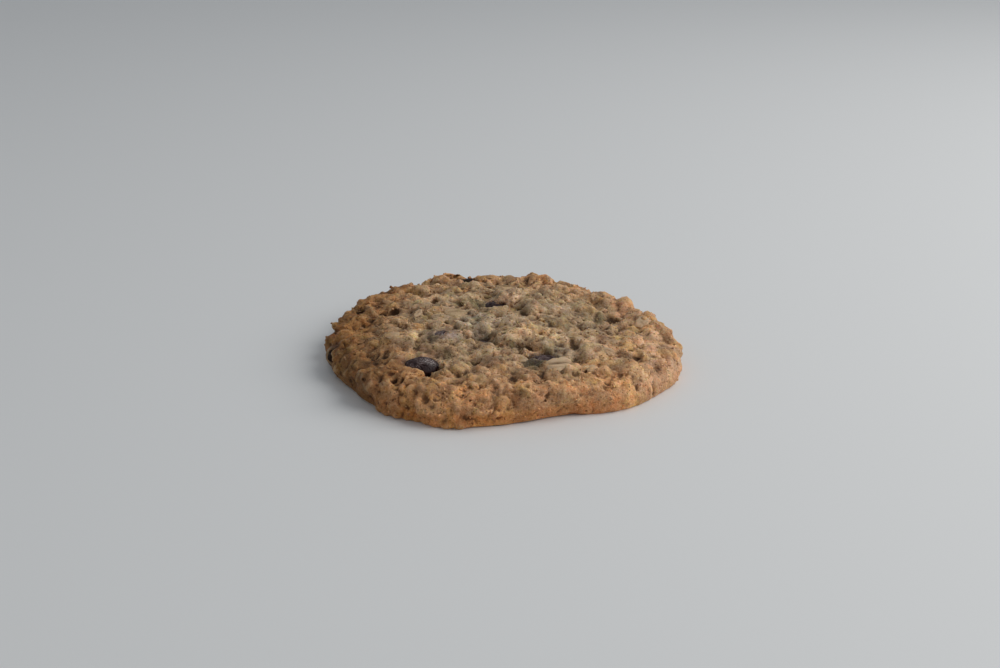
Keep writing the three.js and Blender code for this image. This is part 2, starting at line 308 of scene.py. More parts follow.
# Where the edge stands steep, on the right and at the front left: its angle there and how far out it reaches.
STEEP_EDGE = (
    (-4, 57.2), (-8, 57.8), (-12, 58.6), (-16, 59.4), (-20, 59.9), (-24, 59.6), (-28, 58.8), (-32, 58.2),
    (-36, 57.9), (-40, 57.6), (-44, 56.9), (-48, 55.9), (-52, 54.6), (-56, 53.0),
    (-103, 54.4), (-107, 54.9), (-111, 54.6), (-115, 55.2), (-119, 54.8), (-123, 55.2), (-127, 54.8),
    (-131, 54.0),
)
STEEP_SIZE = (9.0, 14.0, 7.6)
STEEP_HEIGHT = 3.0  # of its middle
STEEP_SQUARENESS = 0.5

# Rows of small crags hang out at the front left: their height, how far out they reach and where they start.
CRAGS = ((1.4, 56.3, -102.0), (3.6, 56.2, -103.8), (5.8, 55.0, -102.6))
CRAGS_IN_A_ROW = 9
CRAG_SPACING = 3.4  # degrees
CRAG_SIZE = (6.4, 4.8, 4.2)
CRAG_SIZE_VARIES = (0.0, 0.9, -0.6)
CRAG_INSET, CRAG_INSET_VARIES = 2.8, 0.7
CRAG_LEAN_VARIES = 30  # degrees
CRAG_SQUARENESS = 0.2


def surface_of(piece):
    return BVHTree.FromPolygons([vertex.co for vertex in piece.data.vertices],
                                [tuple(face.vertices) for face in piece.data.polygons])


def height_at(surface, x, y):
    """How high a surface lies, in metres, under a place given in millimetres."""
    overhead = 30
    return surface.ray_cast(Vector((x, y, overhead)) * MM, Vector((0, 0, -1)))[0].z


def on_edge(turn, out, height):
    angle = math.radians(turn)
    return out * math.cos(angle), out * math.sin(angle), height


def heap_lumps():
    surface = surface_of(core)
    for x, y, length, width, rise, turn, lean in HEAPS:
        ground = height_at(surface, x, y) / MM
        height = 2 * rise + HEAP_ROOT
        yield (x, y, ground + rise - height / 2), (length, width, height), (lean, 0, turn), HEAP_SQUARENESS
    for turn, reach in STEEP_EDGE:
        out = reach - STEEP_SIZE[0] / 2
        yield on_edge(turn, out, STEEP_HEIGHT), STEEP_SIZE, (0, 0, turn), STEEP_SQUARENESS
    for height, reach, start in CRAGS:
        for step in range(CRAGS_IN_A_ROW):
            turn = start - CRAG_SPACING * step
            uneven = math.sin(5.1 * step + 2.3 * height)
            out = reach - CRAG_INSET + CRAG_INSET_VARIES * uneven
            size = tuple(usual + varies * uneven for usual, varies in zip(CRAG_SIZE, CRAG_SIZE_VARIES))
            yield on_edge(turn, out, height), size, (CRAG_LEAN_VARIES * uneven, 0, turn), CRAG_SQUARENESS


def join_meshes(name, *pieces):
    form = bmesh.new()
    for piece in pieces:
        form.from_mesh(piece.data)
    mesh = bpy.data.meshes.new(name)
    form.to_mesh(mesh)
    form.free()
    return new_piece(name, mesh)


heaps = lumps_piece("heaps_of_dough", heap_lumps())
grains = strewn(join_meshes("grains_in_dough", core, heaps), GRAINS, ball)
covers = merged_copy("dough_over_raisins", *RAISINS)
for vertex in covers.data.vertices:
    vertex.co += vertex.normal * SKIN

# ---- Baked dough ---------------------------------------------------------------------------
# One thick disc of baked dough: a dry, porous crumb over the oats, drawn into crags and creases,
# pitted where steam broke through, golden at the rim and paler and greyer in the middle.

VOXEL = 0.34 * MM
DOUGH_FACES = 190000  # triangles, of which each face of the fused dough makes two
COAT_ROUNDS = 4  # smoothing that lays the dough over the oats

# Hollows between the heaps: middle, reach across and from front to back, and depth.
HOLLOWS = (
    (36.8, 8, 4.5, 5, 2.0), (33, -4, 3.5, 4, 1.6), (23.4, -20, 3.0, 5, 1.0), (23, -28, 2.2, 3.5, 1.7),
    (7.4, 10.5, 2.6, 4.5, 2.4), (15.5, 40, 2.4, 3, 1.4), (-39, 12, 3.2, 3.2, 2.2),
    (-34.8, 11.6, 2.2, 2.4, 1.8), (-46.5, 14.7, 2.2, 4.5, 1.9), (-4.4, -10.5, 2.4, 3.4, 0.8),
    (-25, -11, 1.5, 5, 1.4), (-27.9, 39.5, 3.6, 6, 3.0), (-28.4, 46.5, 3.8, 6, 4.0),
    (11.5, 44.0, 5, 4.5, 1.4), (46.8, -33.4, 0.9, 1.6, 1.2), (41.2, -38.0, 0.9, 1.6, 1.1),
    (-10.9, 50, 4, 6, 3.8), (-10.8, 38.2, 3.2, 3.4, 1.6), (-38, 36.5, 6, 4.5, 1.6), (-18, 48, 6, 5, 1.7),
    (-38.2, 38.4, 4.4, 4.8, 1.4), (-14.8, 49.2, 2.6, 3.6, 1.3), (-17, -12.4, 0.6, 0.7, 0.9),
    (-14.6, -10.6, 0.6, 0.7, 0.9), (-16, -14.0, 0.7, 0.6, 0.9), (-13.2, -12.6, 0.6, 0.6, 0.8),
    (4.2, -42, 2.2, 6, 1.4), (-48.3, -16.3, 2.4, 2.4, 2.0), (-21.6, 19.3, 2.0, 3.6, 1.6),
    (-1, -48.6, 2.2, 3.0, 1.0), (-3.8, 33, 3.0, 4.0, 1.8), (-15, -30, 2.6, 1.8, 1.5),
    (-6.5, -31, 2.2, 1.8, 1.4), (-34.7, -25, 1.8, 3.6, 1.6), (42.5, -24.7, 2.8, 3.2, 1.8),
    (-28.6, -42.4, 1.1, 1.1, 2.2), (-30.8, -41.8, 1.1, 1.2, 2.0), (1.2, -14.3, 0.8, 0.9, 1.2),
    (26.5, -47, 1.3, 1.0, 2.0), (40.5, -21, 0.9, 0.9, 1.2), (43.5, -18, 0.8, 0.9, 1.2),
)

# A notch low in the left wall.
NOTCH_MIDDLE = (-58.0, -10, 3.0)
NOTCH_REACH = (4.5, 9, 4.5)
NOTCH_DEPTH = 1.6

# Swellings that close deep gaps between the lumps: middle, reach each way and height.
SWELLINGS = (
    ((-16.4, -14.0, 10.5), (5.0, 4.6, 4.0), 1.1), ((-22.3, -49.0, 6.8), (3.2, 3.2, 2.6), 0.7),
    ((-15.0, -52.6, 5.2), (2.4, 2.6, 1.8), 1.4), ((-17.6, -52.0, 5.6), (2.0, 2.4, 1.6), 1.0),
)

# Where the skin over a raisin has opened: middle, half its reach each way, turn and depth.
WINDOWS = (
    ((-23.0, -32.2, 10.5), (6.0, 4.8, 9), -6, 3.0), ((-19.4, -35.2, 10.0), (3.4, 3.2, 9), 0, 2.6),
    ((-3.0, 16.8, 10.5), (1.7, 1.9, 4), 0, 1.9),
    ((0.4, 14.4, 10.5), (2.3, 2.2, 4), 20, 2.3), ((-18.2, -11.4, 11.5), (2.0, 2.1, 4), 0, 3.0),
    ((14.4, -26.6, 11.0), (4.2, 3.2, 4), 4, 2.6), ((9.4, -26.2, 10.5), (2.8, 1.5, 4), -8, 1.7),
    ((-10.4, 41.4, 9.0), (3.6, 4.0, 4), 0, 3.8), ((-51.2, -15.2, 6.1), (3.1, 3.4, 2.2), 0, 3.0),
    ((30.0, 41.5, 5.5), (2.4, 2.4, 2.0), -36, 1.8), ((-5.2, -10.6, 10.0), (1.5, 1.7, 4), 20, 1.3),
)


def crumb_tree():
    tree, given, made = shape_tree(
        "crumb_relief", Rough=0.18 * MM, Fine=0.09 * MM, Pit_Depth=0.7 * MM, Crease_Depth=0.8 * MM,
        Mounds=2.1 * MM, Nodules=1.3 * MM, Grains=0.34 * MM, Crumb=0.26 * MM,
        Raisins=raisin_forms, Oats=oats, Clumps=clumps)
    position = add(tree, "GeometryNodeInputPosition").outputs[0]
    normal = add(tree, "GeometryNodeInputNormal").outputs[0]
    height = add(tree, "ShaderNodeSeparateXYZ", {0: position}).outputs["Z"]
    facing = add(tree, "ShaderNodeSeparateXYZ", {0: normal}).outputs["Z"]
    off_base = ramp(tree, height, 0.1 * MM, 0.9 * MM)
    in_mm = scaled(tree, position, METRE)
    raisins = add(tree, "GeometryNodeObjectInfo", {"Object": given["Raisins"]}).outputs["Geometry"]
    near = add(tree, "GeometryNodeProximity", {0: raisins}).outputs["Distance"]

    def cloud(scale, detail, offset, output=0):
        shifted = vectors(tree, "ADD", in_mm, (offset, offset, offset))
        return add(tree, "ShaderNodeTexNoise", {"Vector": shifted, "Scale": scale, "Detail": detail,
                                                "Roughness": 0.6}).outputs[output]

    def swing(value, reach):
        """Turns a cloud's value, which lies near a half, into a push of up to the reach either way."""
        return maths(tree, "MULTIPLY", maths(tree, "SUBTRACT", value, 0.5),
                     maths(tree, "MULTIPLY", reach, 4.0))

    def domes(scale, bend, offset, height):
        """Round heaps that meet in creases."""
        moved = vectors(tree, "ADD", in_mm, scaled(tree, cloud(scale * 2.0, 2.0, offset, "Color"), bend))
        cells = add(tree, "ShaderNodeTexVoronoi", {"Vector": moved, "Scale": scale}).outputs["Distance"]
        under = maths(tree, "MAXIMUM", maths(tree, "SUBTRACT", 0.95, maths(tree, "POWER", cells, 2.0)), 0.12)
        return maths(tree, "MULTIPLY", maths(tree, "SUBTRACT", maths(tree, "SQRT", under), 0.8), height)

    def from_middle(middle, reach, turn=0.0):
        """How far a place is from a middle, as a share of the reach."""
        away = vectors(tree, "SUBTRACT", in_mm, middle)
        away = add(tree, "ShaderNodeVectorRotate", {"Vector": away, "Angle": math.radians(-turn)},
                   rotation_type="Z_AXIS").outputs[0]
        away = vectors(tree, "MULTIPLY", away, tuple(1 / half for half in reach))
        return add(tree, "ShaderNodeVectorMath", {0: away}, operation="LENGTH").outputs["Value"]

    def coat(shape):
        blurred = add(tree, "GeometryNodeBlurAttribute", {"Value": position, "Iterations": COAT_ROUNDS},
                      data_type="FLOAT_VECTOR").outputs[0]
        return add(tree, "GeometryNodeSetPosition", {"Geometry": shape, "Position": blurred}).outputs[0]

    def push(shape, offset):
        offset = scaled(tree, normal, maths(tree, "MULTIPLY", offset, off_base))
        return add(tree, "GeometryNodeSetPosition", {"Geometry": shape, "Offset": offset}).outputs[0]

    calm = ramp(tree, add(tree, "ShaderNodeSeparateXYZ", {0: in_mm}).outputs["X"],
                CALM_FROM, CALM_TO, 1.0, 0.5)
    upward = maths(tree, "MULTIPLY", ramp(tree, facing, 0.1, 0.8, 0.55, 1.0), calm)
    broad = maths(tree, "ADD", swing(cloud(0.3, 3.0, 3.0), given["Rough"]),
                  domes(0.115, 4.0, 17.0, given["Mounds"]))
    broad = maths(tree, "ADD", broad, domes(0.18, 2.4, 31.0, given["Nodules"]))
    bent = vectors(tree, "ADD", in_mm, scaled(tree, cloud(0.5, 3.0, 9.0, "Color"), 4.0))
    edges = add(tree, "ShaderNodeTexVoronoi", {"Vector": bent, "Scale": 0.15},
                feature="DISTANCE_TO_EDGE").outputs["Distance"]
    crease = ramp(tree, edges, 0.085, 0.0)
    crease = maths(tree, "MULTIPLY", crease, ramp(tree, cloud(0.11, 2.0, 70.0), 0.45, 0.6))
    crease = maths(tree, "MULTIPLY", crease, given["Crease Depth"])
    broad = maths(tree, "MULTIPLY", maths(tree, "SUBTRACT", broad, crease), upward)
    broad = maths(tree, "MULTIPLY", broad, ramp(tree, near, 0.6 * MM, 2.4 * MM, 0.3, 1.0))
    for x, y, across, along, depth in HOLLOWS:
        away = from_middle((x, y, 8), (across, along, 30))
        broad = maths(tree, "SUBTRACT", broad, ramp(tree, away, 1.0, 0.1, 0.0, depth * MM))
    for middle, reach, rise in SWELLINGS:
        broad = maths(tree, "ADD", broad, ramp(tree, from_middle(middle, reach), 1.0, 0.2, 0.0, rise * MM))
    for middle, reach, turn, depth in WINDOWS:
        away = from_middle(middle, reach, turn)
        broad = maths(tree, "SUBTRACT", broad, ramp(tree, away, 1.0, 0.75, 0.0, depth * MM))
    away = from_middle(NOTCH_MIDDLE, NOTCH_REACH)
    broad = maths(tree, "SUBTRACT", broad, ramp(tree, away, 1.0, 0.2, 0.0, NOTCH_DEPTH * MM))
    cells = add(tree, "ShaderNodeTexVoronoi", {"Vector": vectors(
        tree, "ADD", in_mm, scaled(tree, cloud(1.2, 1.0, 5.0, "Color"), 0.7)), "Scale": 0.5})
    lucky = maths(tree, "GREATER_THAN", add(tree, "ShaderNodeSeparateXYZ", {
        0: cells.outputs["Color"]}).outputs["X"], 0.96)
    pit = maths(tree, "MULTIPLY", ramp(tree, cells.outputs["Distance"], 0.27, 0.1), lucky)
    pit = maths(tree, "MULTIPLY", maths(tree, "MULTIPLY", pit, given["Pit Depth"]), calm)
    fine = maths(tree, "ADD", swing(cloud(1.3, 3.0, 40.0), given["Fine"]),
                 domes(0.5, 0.8, 53.0, given["Grains"]))
    fine = maths(tree, "ADD", fine, domes(0.95, 0.5, 61.0, given["Crumb"]))
    fine = maths(tree, "MULTIPLY", fine, ramp(tree, near, 0.4 * MM, 1.6 * MM, 0.4, 1.0))
    shape = push(coat(given["Geometry"]), broad)
    pushed = push(coat(shape), maths(tree, "SUBTRACT", fine, pit))
    parts = add(tree, "ShaderNodeSeparateXYZ", {0: position}).outputs
    above_base = add(tree, "ShaderNodeCombineXYZ", {
        "X": parts["X"], "Y": parts["Y"], "Z": maths(tree, "MAXIMUM", height, 0.0)}).outputs[0]
    shape = add(tree, "GeometryNodeSetPosition", {"Geometry": pushed, "Position": above_base}).outputs[0]

    def relief(rounds):
        """How far a place stands out from the surface around it."""
        blurred = add(tree, "GeometryNodeBlurAttribute", {"Value": position, "Iterations": rounds},
                      data_type="FLOAT_VECTOR").outputs[0]
        away = vectors(tree, "SUBTRACT", position, blurred)
        return add(tree, "ShaderNodeVectorMath", {0: away, 1: normal},
                   operation="DOT_PRODUCT").outputs["Value"]

    lumps = tree.nodes.new("GeometryNodeJoinGeometry")
    for kind in ("Oats", "Clumps"):
        form = add(tree, "GeometryNodeObjectInfo", {"Object": given[kind]}).outputs["Geometry"]
        tree.links.new(form, lumps.inputs[0])
    tint = add(tree, "GeometryNodeInputNamedAttribute", {"Name": "tint"}, data_type="FLOAT").outputs[0]
    tint_below = add(tree, "GeometryNodeSampleNearestSurface", {"Mesh": lumps.outputs[0], "Value": tint},
                     data_type="FLOAT").outputs[0]
    for label, value in (("relief_fine", relief(6)), ("relief_broad", relief(40)), ("raisin_near", near),
                         ("tint", tint_below)):
        shape = add(tree, "GeometryNodeStoreNamedAttribute",
                    {"Geometry": shape, "Name": label, "Value": value},
                    data_type="FLOAT", domain="POINT").outputs[0]
    shade = add(tree, "GeometryNodeSetShadeSmooth", {"Geometry": shape, "Shade Smooth": True}).outputs[0]
    tree.links.new(shade, made[0])
    return tree


dough = join_meshes("cookie_dough", core, heaps, oats, clumps, nodules, grains, covers)
fuse = dough.modifiers.new("fuse", "REMESH")
fuse.mode = "VOXEL"
fuse.voxel_size = VOXEL
grow(dough, crumb_tree(), Raisins=raisin_forms, Oats=oats, Clumps=clumps)
settle(dough)
thin = dough.modifiers.new("thin", "DECIMATE")
thin.ratio = DOUGH_FACES / (2 * len(dough.data.polygons))
settle(dough)

# Where the dough is paler, greyer or stained, and where darker patches paint the shade in hollows: middle,
# reach, share and what its colour is multiplied by.
PATCHES = (
    ((29, -22), (9, 10), 1.0, (1.12, 1.16, 1.22)), ((4.2, 18.2), (5.0, 4.2), 1.0, (1.66, 1.6, 1.72)),
    ((4, -3), (8, 5), 1.0, (1.04, 1.1, 1.22)), ((9, -13.5), (12, 7), 1.0, (1.42, 1.4, 1.36)),
    ((-30, -15), (8, 5.5), 1.0, (1.3, 1.29, 1.22)), ((-15.5, -13.0), (5.6, 4.8), 1.0, (0.98, 0.98, 1.2)),
    ((-8, 0), (8, 7), 1.0, (0.96, 1.05, 1.18)), ((10.8, -30.6), (5.4, 5.6), 1.0, (0.26, 0.31, 0.32)),
    ((-7, 17), (4, 5), 1.0, (0.52, 0.58, 0.52)), ((18, -24), (6, 4), 1.0, (0.8, 0.88, 1.0)),
    ((19, 13), (5, 5), 1.0, (1.0, 1.08, 1.2)), ((-5.4, -9.0), (4.0, 4.2), 1.0, (0.58, 0.64, 0.72)),
    ((35, 6), (5, 7), 1.0, (0.7, 0.74, 0.68)), ((-42, 1), (5, 6), 0.7, (1.22, 1.2, 1.12)),
    ((42, -36), (8, 9), 0.8, (1.1, 1.15, 1.2)), ((-38, -32), (8, 13), 0.9, (0.76, 0.74, 0.66)),
    # The next line starts with painted shade in the hollow behind the front raisin.
    ((-18.5, -24), (8, 5), 1.0, (0.7, 0.67, 0.63)), ((-49, -5), (6, 9), 0.9, (1.3, 1.22, 1.14)),
    ((-19, -40), (5, 6), 0.8, (0.74, 0.71, 0.6)), ((-15.0, -13.4), (4.4, 4.0), 1.0, (1.04, 1.08, 1.16)),
    # Painted shade on the lower left of the dome over a raisin.
    ((-21.0, -15.0), (4.0, 4.8), 1.0, (0.36, 0.34, 0.31)),
    # Painted shade in the hollows by the raisins at the left edge and at the back.
    ((-53, -14), (4, 5), 0.9, (0.38, 0.34, 0.3)), ((-10, 42), (4.4, 4), 1.0, (0.6, 0.55, 0.5)),
    ((51, -22), (9, 20), 0.9, (1.2, 1.25, 1.42)), ((8, -51), (34, 9), 0.9, (1.13, 1.12, 1.12)),
    ((28, -40), (14, 10), 0.9, (1.17, 1.15, 1.12)), ((-42, -34), (10, 12), 0.9, (0.9, 0.87, 0.78)),
    ((-24, -51), (11, 5), 0.9, (0.92, 0.91, 0.86)),
    ((-41, 30), (9, 14), 0.9, (1.2, 1.17, 1.12)), ((50, 16), (9, 8), 0.8, (1.14, 1.14, 1.16)),
    # Painted shade over the sunken ground to the right of the middle.
    ((20, -1), (7, 5), 1.0, (0.7, 0.72, 0.7)), ((30, 8), (6, 5), 0.9, (0.74, 0.76, 0.74)),
    ((3, 35), (6, 6), 1.0, (0.76, 0.76, 0.74)), ((-29, -3), (5, 6), 0.8, (0.8, 0.79, 0.78)),
    ((36, -38), (7, 6), 0.8, (1.28, 1.24, 1.2)), ((33, 2), (13, 10), 0.8, (0.86, 0.87, 0.88)),
    ((-27, -38), (10, 9), 0.9, (0.93, 0.88, 0.76)), ((-5, -33), (14, 7), 0.7, (0.92, 0.92, 0.88)),
    ((46, -4), (6, 8), 0.8, (1.14, 1.2, 1.24)),
)
CRUMB_COLOUR = (0.495, 0.356, 0.226)
CRUST_COLOUR = (0.56, 0.25, 0.085)
RIGHT_CRUST_COLOUR = (0.60, 0.317, 0.152)
SHADED_LEFT_CRUST_COLOUR = (0.25, 0.122, 0.036)


def mix(tree, factor, first, second, blend="MIX"):
    node = add(tree, "ShaderNodeMix", data_type="RGBA", blend_type=blend)
    for index, value in ((0, factor), (6, first), (7, second)):
        if isinstance(value, bpy.types.NodeSocket):
            tree.links.new(value, node.inputs[index])
        elif index:
            node.inputs[index].default_value = (*value, 1)
        else:
            node.inputs[index].default_value = value
    return node.outputs[2]


def effect(name, **outputs):
    """A shader node group with the outputs that its tree makes."""
    tree = bpy.data.node_groups.new(name, "ShaderNodeTree")
    for label, kind in outputs.items():
        tree.interface.new_socket(label, in_out="OUTPUT", socket_type="NodeSocket" + kind)
    return tree, tree.nodes.new("NodeGroupOutput").inputs


def baked_colour():
    """The dough's colour from its place and its lumps: pale in the middle, golden at the rim and darker on
    the left, where shade is painted in.
    """
    tree, made = effect("baked_colour", Colour="Color", Speck="Float", Pore="Float")
    place = add(tree, "ShaderNodeTexCoord").outputs["Object"]
    in_mm = scaled(tree, place, METRE)
    parts = add(tree, "ShaderNodeSeparateXYZ", {0: in_mm})
    radius = maths(tree, "SQRT", maths(tree, "ADD", maths(tree, "POWER", parts.outputs[0], 2.0),
                                       maths(tree, "POWER", parts.outputs[1], 2.0)))
    cloud = add(tree, "ShaderNodeTexNoise", {"Vector": in_mm, "Scale": 0.09, "Detail": 3.0}).outputs[0]
    waver = add(tree, "ShaderNodeTexNoise", {"Vector": in_mm, "Scale": 0.35, "Detail": 3.0}).outputs["Color"]
    bent = vectors(tree, "ADD", in_mm, scaled(tree, vectors(tree, "SUBTRACT", waver, (0.5, 0.5, 0.5)), 4.0))
    edge = maths(tree, "ADD", radius, maths(tree, "MULTIPLY", maths(tree, "SUBTRACT", cloud, 0.5), 26.0))
    browned = maths(tree, "MAXIMUM", ramp(tree, edge, 22.0, 58.0, 0.0, 0.62),
                    ramp(tree, parts.outputs[2], 8.0, 3.0, 0.0, 0.92))
    crust = mix(tree, ramp(tree, parts.outputs[0], 10.0, 45.0), CRUST_COLOUR, RIGHT_CRUST_COLOUR)
    colour = mix(tree, browned, CRUMB_COLOUR, crust)
    # Towards the left the crust darkens: painted shade on the side turned away from the window.
    left = ramp(tree, parts.outputs[0], -22.0, -52.0)
    colour = mix(tree, left, colour, SHADED_LEFT_CRUST_COLOUR)
    tint = add(tree, "ShaderNodeAttribute", attribute_name="tint").outputs["Fac"]
    hue = maths(tree, "FRACT", maths(tree, "MULTIPLY", tint, 7.13))
    warm = add(tree, "ShaderNodeTexNoise", {"Vector": in_mm, "Scale": 0.28, "Detail": 3.0}).outputs[0]
    for value, low, high, share, factor in (
            (tint, 0.55, 1.0, 0.7, (1.2, 1.22, 1.24)), (tint, 0.38, 0.0, 0.7, (0.78, 0.69, 0.6)),
            (hue, 0.6, 1.0, 0.8, (1.1, 1.03, 0.74)), (hue, 0.3, 0.0, 0.7, (1.0, 0.92, 0.95)),
            (warm, 0.5, 0.7, 0.8, (1.1, 0.94, 0.8)), (warm, 0.48, 0.3, 0.8, (0.94, 1.02, 0.86))):
        colour = mix(tree, ramp(tree, value, low, high, 0.0, share), colour, factor, "MULTIPLY")
    for (x, y), (across, along), share, factor in PATCHES:
        away = vectors(tree, "SUBTRACT", bent, (x, y, 0))
        away = vectors(tree, "MULTIPLY", away, (1 / across, 1 / along, 0))
        away = add(tree, "ShaderNodeVectorMath", {0: away}, operation="LENGTH").outputs["Value"]
        colour = mix(tree, ramp(tree, away, 1.1, 0.5, 0.0, share), colour, factor, "MULTIPLY")
    lumpy = add(tree, "ShaderNodeTexNoise", {"Vector": bent, "Scale": 0.17, "Detail": 2.0}).outputs[0]
    on_top = ramp(tree, parts.outputs[2], 5.0, 9.0, 0.3, 1.0)
    colour = mix(tree, on_top, colour, ramp(tree, lumpy, 0.36, 0.64, 0.7, 1.24), "MULTIPLY")
    speck = add(tree, "ShaderNodeTexNoise",
                {"Vector": in_mm, "Scale": 1.7, "Detail": 4.0, "Roughness": 0.75}).outputs[0]
    toasted = mix(tree, ramp(tree, speck, 0.3, 0.7), (0.84, 0.69, 0.54), (1.18, 1.25, 1.3))
    colour = mix(tree, 1.0, colour, toasted, "MULTIPLY")
    loose = vectors(tree, "ADD", in_mm, scaled(tree, waver, 0.8))
    cells = add(tree, "ShaderNodeTexVoronoi", {"Vector": loose, "Scale": 0.95}).outputs["Distance"]
    airy = add(tree, "ShaderNodeTexNoise", {"Vector": in_mm, "Scale": 0.22, "Detail": 1.0}).outputs[0]
    pore = maths(tree, "MULTIPLY", ramp(tree, cells, 0.27, 0.12), ramp(tree, airy, 0.42, 0.55, 0.15, 1.0))
    # The pores are darkened: painted shade in the small holes.
    colour = mix(tree, maths(tree, "MULTIPLY", pore, 0.8), colour, (0.36, 0.27, 0.2), "MULTIPLY")
    tree.links.new(colour, made["Colour"])
    tree.links.new(speck, made["Speck"])
    tree.links.new(pore, made["Pore"])
    return tree


def finish(name, group):
    """A material with its shader and the shared effect it starts from."""
    surface = bpy.data.materials.new(name)
    surface.use_nodes = True
    tree = surface.node_tree
    return surface, tree, tree.nodes["Principled BSDF"], add(tree, "ShaderNodeGroup", node_tree=group).outputs


def soften(skin, weight, reach=(1.0, 0.5, 0.2)):
    """Lets light a little way into the crumb, and red light the furthest."""
    skin.inputs["Subsurface Weight"].default_value = weight
    skin.inputs["Subsurface Radius"].default_value = reach
    skin.inputs["Subsurface Scale"].default_value = 0.8 * MM


def finish_dough():
    surface, tree, skin, baked = finish("baked_oat_dough", colours)
    colour = baked["Colour"]
    in_mm = scaled(tree, add(tree, "ShaderNodeTexCoord").outputs["Object"], METRE)
    fine = add(tree, "ShaderNodeAttribute", attribute_name="relief_fine").outputs["Fac"]
    broad = add(tree, "ShaderNodeAttribute", attribute_name="relief_broad").outputs["Fac"]
    near = add(tree, "ShaderNodeAttribute", attribute_name="raisin_near").outputs["Fac"]
    # Painted light and shade from the relief: crests and broad domes are lightened as painted highlights,
    # creases and hollows darkened as painted shade.
    painted_crest_highlight = ramp(tree, fine, 0.01 * MM, 0.12 * MM, 0.0, 0.7)
    colour = mix(tree, painted_crest_highlight, colour, (1.24, 1.3, 1.36), "MULTIPLY")
    colour = mix(tree, ramp(tree, fine, 0.0, -0.13 * MM, 0.0, 0.8), colour, (0.33, 0.26, 0.19), "MULTIPLY")
    colour = mix(tree, ramp(tree, broad, 0.0, -0.75 * MM, 0.0, 0.85), colour, (0.36, 0.29, 0.21), "MULTIPLY")
    colour = mix(tree, ramp(tree, broad, 0.15 * MM, 0.9 * MM, 0.0, 0.42), colour, (0.70, 0.52, 0.32))
    height = add(tree, "ShaderNodeSeparateXYZ", {0: in_mm}).outputs["Z"]
    on_top = ramp(tree, height, 7.0, 9.0)
    tinted = maths(tree, "MULTIPLY", on_top, ramp(tree, near, 1.5 * MM, 0.4 * MM, 0.0, 0.85))
    colour = mix(tree, tinted, colour, (0.8, 0.77, 0.79), "MULTIPLY")
    blotch = add(tree, "ShaderNodeTexNoise", {"Vector": in_mm, "Scale": 1.5, "Detail": 3.0}).outputs[0]
    through = maths(tree, "MULTIPLY", ramp(tree, near, 1.1 * MM, 0.6 * MM),
                    ramp(tree, blotch, 0.5, 0.6, 0.0, 0.7))
    through = maths(tree, "MULTIPLY", through, on_top)
    colour = mix(tree, through, colour, (0.07, 0.04, 0.038))
    tree.links.new(colour, skin.inputs["Base Color"])
    tree.links.new(ramp(tree, baked["Speck"], 0.3, 0.75, 0.75, 0.5), skin.inputs["Roughness"])
    skin.inputs["Specular IOR Level"].default_value = 0.35
    soften(skin, 0.4)
    grain = add(tree, "ShaderNodeTexNoise",
                {"Vector": in_mm, "Scale": 2.2, "Detail": 5.0, "Roughness": 0.7}).outputs[0]
    grain = maths(tree, "SUBTRACT", grain, maths(tree, "MULTIPLY", baked["Pore"], 0.7))
    bump = add(tree, "ShaderNodeBump", {"Height": grain, "Distance": 0.4 * MM, "Strength": 1.0})
    tree.links.new(bump.outputs[0], skin.inputs["Normal"])
    return surface


colours = baked_colour()
dough.data.materials.clear()
dough.data.materials.append(finish_dough())
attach(dough, "root")
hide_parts("cookie")

# ---- Crumbs --------------------------------------------------------------------------------
# Fine grains of dough and broken oat, loosened as the dough was portioned and baked fast where they
# fell. They stand out of the crust and catch the light.

CRUMBS = {"Density": 330000.0, "Length": 0.85 * MM, "Thickness": 0.8, "Sink": 0.14 * MM, "Tilt": 1.2,
          "Clear": 1.0 * MM, "Lowest": 0.8 * MM, "Patchy": 0.3, "Wall": 0.8, "Seed": 41}


def crumb_form():
    form = bmesh.new()
    bmesh.ops.create_icosphere(form, subdivisions=1, radius=0.5)
    for vertex in form.verts:
        vertex.co *= 1 + 0.35 * math.sin(17 * vertex.co.x + 29 * vertex.co.y + 7 * vertex.co.z)
    mesh = bpy.data.meshes.new("crumb_form")
    form.to_mesh(mesh)
    form.free()
    return new_piece("crumb_form", mesh)


def finish_crumbs():
    surface, tree, skin, baked = finish("baked_crumbs", colours)
    chance = add(tree, "ShaderNodeAttribute", attribute_name="tint").outputs["Fac"]
    colour = mix(tree, 1.0, baked["Colour"], ramp(tree, chance, 0.0, 1.0, 0.75, 1.25), "MULTIPLY")
    tree.links.new(colour, skin.inputs["Base Color"])
    skin.inputs["Roughness"].default_value = 0.5
    soften(skin, 0.25)
    return surface


crumb = crumb_form()
crumbs = strewn(new_piece("crumbs", dough.data.copy()), CRUMBS, crumb)
crumbs.data.materials.clear()
crumbs.data.materials.append(finish_crumbs())
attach(crumbs, "root")

# ---- Oat flakes ----------------------------------------------------------------------------
# Rolled oats that stuck to the top of the dough and stayed bare: thin ovals that the rollers
# pressed flat, with the crease of the grain along the middle and a pale, faintly striped face.

